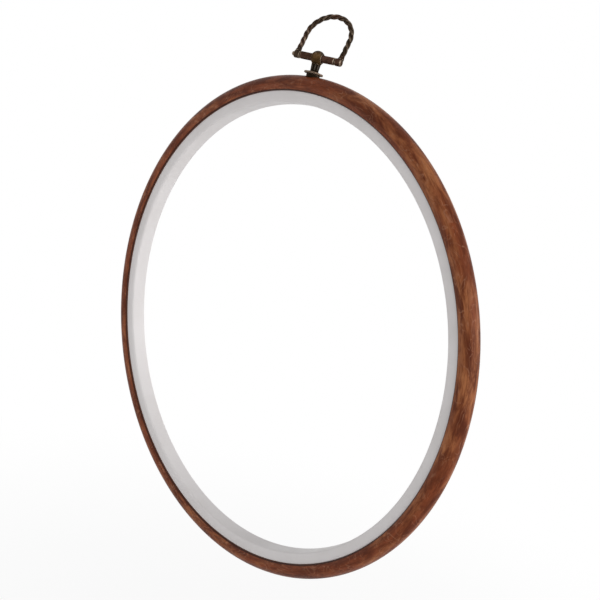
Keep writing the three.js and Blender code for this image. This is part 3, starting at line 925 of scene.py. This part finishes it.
class HOOP_OT_washers(bpy.types.Operator):
    """Add the washers above and inside the rim"""

    bl_idname = "hoop.washers"
    bl_label = "Washers"

    def execute(self, context):
        hanger = context.scene.hanger_sizes
        levels = Heights(context.scene.hoop_sizes, hanger)
        hole = levels.shank_hole
        edge = hanger.rim_washer_edge
        bottom, top = levels.washer_bottom, levels.washer_top
        self.washer(context, "rim_washer", hole, hanger.rim_washer_radius, bottom, top, edge)
        bottom, top = levels.backing, levels.backing_top
        self.washer(context, "backing_washer", hole, hanger.backing_radius, bottom, top)
        return {"FINISHED"}

    def washer(self, context, node, hole, radius, bottom, top, edge=0):
        """Round washer, whose upper edge may be rounded."""
        outline = Pen(hole, bottom)
        outline.line(radius, bottom)
        outline.line(radius, top - edge)
        if edge:
            outline.corner(radius - edge, top - edge, 0, WASHER_EDGE_STEPS)
        outline.line(hole, top)
        outline.close()
        ring = turned_upright(outline, WASHER_SEGMENTS)
        store_relief(ring)
        colours = context.scene.hoop_colours
        material = aged_brass("washer_patina", colours, colours.brass_dark, WASHER_RUB_HIGHLIGHT)
        add_piece(f"{node}_ring", ring, WASHER_PLACE, "outer_hoop", node, material)


class HOOP_OT_post(bpy.types.Operator):
    """Add the riveted post with its pierced ball head"""

    bl_idname = "hoop.post"
    bl_label = "Hanger post"

    def execute(self, context):
        hanger = context.scene.hanger_sizes
        levels = Heights(context.scene.hoop_sizes, hanger)
        flange = levels.flange - levels.pivot
        flange_top = flange + hanger.flange_thickness
        foot = flange_top + hanger.flange_cone
        rivet = levels.rivet - levels.pivot
        rivet_top = rivet + hanger.rivet_thickness
        neck_angle = math.acos(hanger.neck_radius / hanger.head_radius)
        neck = -hanger.head_radius * math.sin(neck_angle)
        middle = (foot + neck) / 2
        low = middle - hanger.flute_length / 2
        outline = Pen(0, rivet)
        outline.line(hanger.rivet_face_radius, rivet)
        outline.line(hanger.rivet_radius, rivet + hanger.rivet_edge)
        outline.line(hanger.rivet_radius, rivet_top)
        outline.line(hanger.shank_radius, rivet_top)
        outline.line(hanger.shank_radius, flange)
        outline.line(hanger.flange_radius, flange)
        outline.line(hanger.flange_radius, flange_top)
        outline.line(hanger.foot_radius, foot)
        outline.line(hanger.stem_foot_radius, low)
        for step in range(1, STEM_STEPS + 1):
            part = step / STEM_STEPS
            radius = hanger.stem_foot_radius + (hanger.neck_radius - hanger.stem_foot_radius) * part
            outline.line(radius, low + hanger.flute_length * part)
        outline.line(hanger.neck_radius, neck)
        outline.arc(0, 0, -neck_angle, QUARTER_TURN, HEAD_STEPS)
        post = turned_upright(outline, POST_SEGMENTS)
        self.flute(post, hanger, low)
        post = cast(post, hanger.grain)
        reach = 2 * hanger.head_radius
        bore = round_tool(hanger.bar_radius + hanger.turn_gap, -reach, reach)
        post = carved(post, laid_along_x(bore))
        store_relief(post)
        colours = context.scene.hoop_colours
        stem = (hanger.head_radius, -flange_top)
        material = aged_brass("post_patina", colours, colours.brass_olive, POST_RUB_HIGHLIGHT, stem)
        add_piece("brass_post", post, POST_PLACE, "hanger_post", "hanger_post", material)
        return {"FINISHED"}

    def flute(self, post, hanger, low):
        """Presses the flutes into the stem, fading at both ends."""
        for vert in post.verts:
            height = vert.co.z - low
            fade = min(height, hanger.flute_length - height) / hanger.flute_runout
            if fade <= 0:
                continue
            turn = math.atan2(vert.co.y, vert.co.x)
            depth = hanger.flute_depth * min(fade, 1) * (0.5 + 0.5 * math.cos(hanger.flutes * turn))
            radius = math.hypot(vert.co.x, vert.co.y)
            vert.co.x *= 1 - depth / radius
            vert.co.y *= 1 - depth / radius


class HOOP_OT_hanging_ring(bpy.types.Operator):
    """Add the rope-twist hanging ring with an eye at each corner"""

    bl_idname = "hoop.hanging_ring"
    bl_label = "Hanging ring"

    def execute(self, context):
        hanger = context.scene.hanger_sizes
        ring = bmesh.new()
        for strand in range(hanger.strands):
            join(ring, self.strand(hanger, math.tau * strand / hanger.strands))
        for side in (-1, 1):
            join(ring, self.eye(hanger, side * (hanger.arch_width / 2 - hanger.eye_inset)))
            join(ring, self.neck(hanger, side * hanger.arch_width / 2))
        ring = cast(ring, hanger.grain, rounds=2)
        reach = hanger.arch_width
        hole = round_tool(hanger.spigot_radius + hanger.fit_gap / 2, -reach, reach, SPIGOT_HOLE_SEGMENTS)
        ring = carved(ring, laid_along_x(hole))
        store_relief(ring)
        colours = context.scene.hoop_colours
        material = aged_brass("hanger_patina", colours, colours.brass_body, ROPE_RUB_HIGHLIGHT)
        add_piece("rope_ring", ring, RING_PLACE, "hanging_ring", "hanging_ring", material)
        return {"FINISHED"}

    def strand(self, hanger, start):
        """One round strand, wound up straight and then bent over the arch."""
        half = hanger.arch_width / 2
        foot = hanger.rope_foot
        leg = hanger.leg_height - foot
        rise = hanger.arch_height - hanger.leg_height
        bow = math.pi * (half + rise) / 2
        total = 2 * leg + bow
        steps = round(total / hanger.rope_pitch * TWIST_STEPS)
        bm = bmesh.new()
        side = Matrix.Rotation(start, 4, "Z") @ Matrix.Translation((hanger.strand_offset, 0, 0))
        bmesh.ops.create_circle(
            bm, cap_ends=True, segments=STRAND_SEGMENTS, radius=hanger.strand_radius, matrix=side
        )
        top = bmesh.ops.spin(
            bm,
            geom=bm.edges[:],
            cent=ORIGIN,
            axis=UP,
            dvec=(0, 0, total / steps),
            angle=math.tau * total / hanger.rope_pitch,
            steps=steps,
        )["geom_last"]
        rim = [item for item in top if isinstance(item, bmesh.types.BMEdge)]
        bmesh.ops.contextual_create(bm, geom=rim)
        for vert in bm.verts:
            x, y, along = vert.co
            if along <= leg:
                vert.co = (-half - x, y, foot + along)
            elif along >= leg + bow:
                vert.co = (half + x, y, foot + total - along)
            else:
                turn = math.pi * (1 - (along - leg) / bow)
                vert.co = ((half + x) * math.cos(turn), y, hanger.leg_height + (rise + x) * math.sin(turn))
        return tidy_shell(bm)

    def eye(self, hanger, place):
        """Barrel with rounded ends round the bar's spigot."""
        half = hanger.eye_length / 2
        rounding = hanger.eye_round
        end = hanger.eye_radius - rounding
        outline = Pen(0, -half)
        outline.line(end, -half)
        outline.corner(end, rounding - half, 3, FILLET_STEPS)
        outline.line(hanger.eye_radius, half - rounding)
        outline.corner(end, half - rounding, 0, FILLET_STEPS)
        outline.line(0, half)
        barrel = laid_along_x(turned_upright(outline, BARREL_SEGMENTS))
        return placed(barrel, Matrix.Translation((place, 0, 0)))

    def neck(self, hanger, place):
        """Neck that takes the rope's end, a little narrower than the rope at its top."""
        top = hanger.eye_neck_height
        shoulder = 0.7 * top
        mouth = 0.9 * (hanger.strand_radius + hanger.strand_offset)
        outline = Pen(0, hanger.rope_foot)
        outline.line(hanger.eye_neck_radius, hanger.rope_foot)
        outline.line(hanger.eye_neck_radius, shoulder)
        outline.line(mouth, top)
        outline.line(0, top)
        return placed(turned_upright(outline, NECK_SEGMENTS), Matrix.Translation((place, 0, 0)))


class HOOP_OT_cross_bar(bpy.types.Operator):
    """Add the cross bar through the post's head"""

    bl_idname = "hoop.cross_bar"
    bl_label = "Cross bar"

    def execute(self, context):
        hanger = context.scene.hanger_sizes
        eye = hanger.arch_width / 2 - hanger.eye_inset
        half = eye - hanger.eye_length / 2 - hanger.fit_gap
        left = -eye - hanger.eye_length / 2 - hanger.spigot_stand
        right = eye + hanger.eye_length / 2 - hanger.spigot_inset
        rounding = hanger.bar_round
        body = hanger.bar_radius - rounding
        tip = hanger.spigot_round
        pin = hanger.spigot_radius - tip
        outline = Pen(0, left)
        outline.line(pin, left)
        outline.corner(pin, left + tip, 3)
        outline.line(hanger.spigot_radius, -half)
        outline.line(body, -half)
        outline.corner(body, rounding - half, 3)
        for step in range(1, BAR_STEPS + 1):
            outline.line(hanger.bar_radius, (half - rounding) * (2 * step / BAR_STEPS - 1))
        outline.corner(body, half - rounding, 0)
        outline.line(hanger.spigot_radius, half)
        outline.line(hanger.spigot_radius, right - tip)
        outline.corner(pin, right - tip, 0)
        outline.line(0, right)
        bar = laid_along_x(turned_upright(outline, BARREL_SEGMENTS))
        store_relief(bar)
        colours = context.scene.hoop_colours
        material = aged_brass("bar_patina", colours, colours.brass_copper, BAR_RUB_HIGHLIGHT)
        add_piece("brass_bar", bar, RING_PLACE, "hanging_ring", "cross_bar", material)
        return {"FINISHED"}


class HOOP_OT_stage(bpy.types.Operator):
    """Add the floor, the light and the camera"""

    bl_idname = "hoop.stage"
    bl_label = "Stage"

    def execute(self, context):
        stage = context.scene.hoop_stage
        context.scene.view_settings.view_transform = "Standard"
        self.floor(stage)
        self.sky(context.scene, stage)
        self.lamp("key_lamp", stage.key, KEY_PLACE, KEY_WIDTH)
        self.lamp("side_lamp", stage.side, SIDE_PLACE, SIDE_WIDTH)
        self.lamp("fill_lamp", stage.fill, FILL_PLACE, FILL_WIDTH)
        self.camera(context.scene, stage)
        return {"FINISHED"}

    def floor(self, stage):
        """Pale floor that the camera sees as white, but for part of the object's shadow."""
        bm = bmesh.new()
        bmesh.ops.create_grid(bm, x_segments=1, y_segments=1, size=stage.floor_reach)
        level = Matrix.Translation((0, 0, cad_box[0].z - stage.floor_drop))
        floor = holder(placed(bm, level), "floor")
        material, wire, surface = emptied_material("floor_white")
        lit = wire.add("ShaderNodeBsdfDiffuse", {"Color": PALE_FLOOR}).outputs[0]
        white = wire.add("ShaderNodeEmission", {"Color": WHITE, "Strength": 1.0}).outputs[0]
        # Far from the hoop the floor is plain white; under it a share of the lit floor shows the shadow.
        away = wire.measure("LENGTH", wire.centred_coordinates(HOOP_CENTRE))
        near, far = 1.5 * RIM_RADIUS, 4 * RIM_RADIUS
        plain = wire.between(away, near, far, 1 - stage.shadow, 1.0)
        mixed = wire.add("ShaderNodeMixShader", {0: wire.times(wire.looked_at(), plain), 1: lit, 2: white})
        wire.feed(surface, mixed.outputs[0])
        floor.data.materials.append(material)

    def sky(self, scene, stage):
        """Plain light from all round, white where it is looked at."""
        world = bpy.data.worlds.new("studio")
        world.use_nodes = True
        world.node_tree.nodes.clear()
        wire = Wiring(world.node_tree)
        soft = wire.add("ShaderNodeBackground", {"Color": WHITE, "Strength": stage.sky}).outputs[0]
        white = wire.add("ShaderNodeBackground", {"Color": WHITE, "Strength": 1.0}).outputs[0]
        mixed = wire.add("ShaderNodeMixShader", {0: wire.looked_at(), 1: soft, 2: white})
        wire.add("ShaderNodeOutputWorld", {"Surface": mixed.outputs[0]})
        scene.world = world

    def lamp(self, name, power, place, width):
        """Soft square lamp that shines on the hoop's middle."""
        data = bpy.data.lights.new(name, "AREA")
        data.shape = "SQUARE"
        data.size = width
        data.energy = power
        lamp = bpy.data.objects.new(name, data)
        bpy.context.scene.collection.objects.link(lamp)
        lamp.location = HOOP_CENTRE + place
        lamp.rotation_mode = "QUATERNION"
        lamp.rotation_quaternion = (-place).to_track_quat("-Z", "Y")

    def camera(self, scene, stage):
        """Camera where the photograph was taken from, with its small turn about the line of sight."""
        data = bpy.data.cameras.new("photo_camera")
        data.sensor_width = SENSOR_WIDTH
        data.lens = stage.focal_length
        # The picture's pixels are counted from their middles, half a pixel in from the edge.
        half_pixel = 0.5 / PICTURE_WIDTH
        data.shift_x = -half_pixel
        data.shift_y = half_pixel
        side = Vector((math.cos(stage.heading), math.sin(stage.heading), 0))
        ahead = UP.cross(side) * math.cos(stage.rise) - UP * math.sin(stage.rise)
        aim = HOOP_CENTRE - Vector((0, stage.aim_forward, 0))
        top = side.cross(ahead)
        look = (ahead + side * math.tan(stage.pan) + top * math.tan(stage.tilt)).normalized()
        side = (side - look * side.dot(look)).normalized()
        top = side.cross(look)
        right = side * math.cos(stage.roll) + top * math.sin(stage.roll)
        upward = top * math.cos(stage.roll) - side * math.sin(stage.roll)
        camera = bpy.data.objects.new("photo_camera", data)
        scene.collection.objects.link(camera)
        turn = Matrix((right, upward, -look)).transposed().to_4x4()
        camera.matrix_world = Matrix.Translation(aim - ahead * stage.distance) @ turn
        scene.camera = camera


class HOOP_PT_panel(bpy.types.Panel):
    """Sizes, colours and the pieces of the hoop"""

    bl_label = "Embroidery hoop"
    bl_space_type = "VIEW_3D"
    bl_region_type = "UI"
    bl_category = "Hoop"

    def draw(self, context):
        for title, name, group in GROUPS:
            box = self.layout.box()
            box.label(text=title)
            for field in group.__annotations__:
                box.prop(getattr(context.scene, name), field)
        for operator in OPERATORS:
            self.layout.operator(operator.bl_idname)


# Each property group's title in the panel, its name in the scene and its class
GROUPS = (
    ("Hoops", "hoop_sizes", HoopSizes),
    ("Hanger", "hanger_sizes", HangerSizes),
    ("Colours", "hoop_colours", HoopColours),
    ("Stage", "hoop_stage", HoopStage),
)
OPERATORS = (
    HOOP_OT_stage,
    HOOP_OT_outer_hoop,
    HOOP_OT_inner_hoop,
    HOOP_OT_washers,
    HOOP_OT_post,
    HOOP_OT_hanging_ring,
    HOOP_OT_cross_bar,
)
CLASSES = (*(group for _, _, group in GROUPS), *OPERATORS, HOOP_PT_panel)


def register():
    for item in CLASSES:
        bpy.utils.register_class(item)
    for _, name, group in GROUPS:
        setattr(bpy.types.Scene, name, PointerProperty(type=group))


def unregister():
    for _, name, _ in GROUPS:
        delattr(bpy.types.Scene, name)
    for item in reversed(CLASSES):
        bpy.utils.unregister_class(item)


def main():
    register()
    bpy.ops.hoop.stage()
    bpy.ops.hoop.outer_hoop()
    bpy.ops.hoop.inner_hoop()
    bpy.ops.hoop.washers()
    bpy.ops.hoop.post()
    bpy.ops.hoop.hanging_ring()
    bpy.ops.hoop.cross_bar()


if __name__ == "__main__":
    main()
